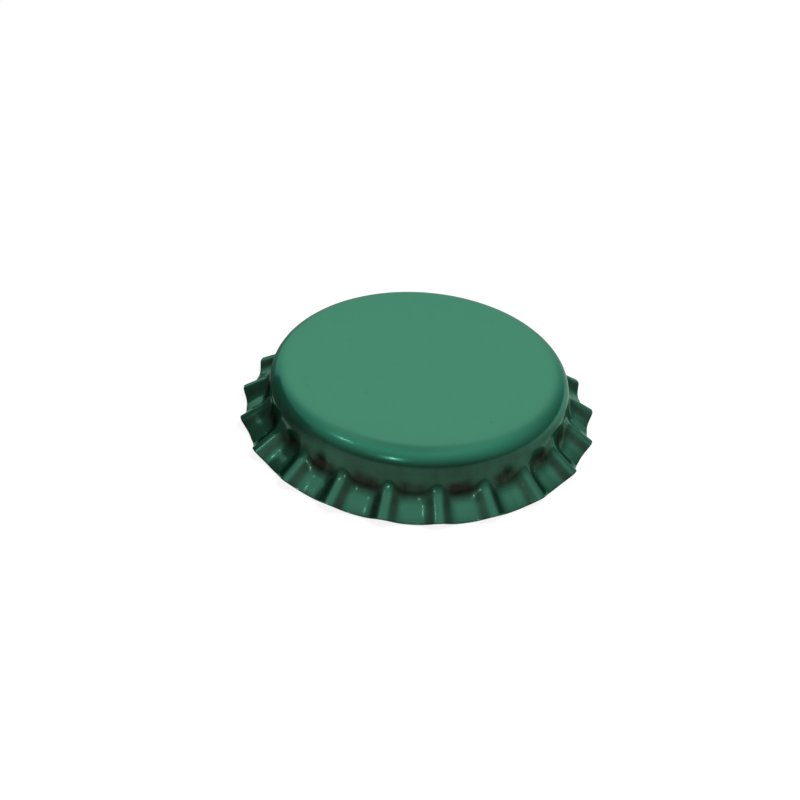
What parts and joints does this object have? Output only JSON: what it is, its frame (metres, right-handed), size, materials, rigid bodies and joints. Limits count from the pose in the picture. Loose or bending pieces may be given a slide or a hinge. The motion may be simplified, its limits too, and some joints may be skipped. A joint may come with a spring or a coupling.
{
  "type": "crown bottle cap",
  "caption": "Pressed metal crown bottle cap with a fluted skirt and a pale moulded sealing liner inside.",
  "frame": {"origin": "on the cap's axis, in the plane that the rim stands on", "axes": "+Z along the cap's axis towards the crown; +X through the crest of a flute"},
  "size_m": [0.0319, 0.032, 0.006],
  "materials": {
    "green_lacquer": "glossy lacquer on tinplate",
    "liner": "satin moulded compound"
  },
  "bodies": {
    "root": {"shell": "green_lacquer", "liner": "liner"}
  },
  "joints": []
}
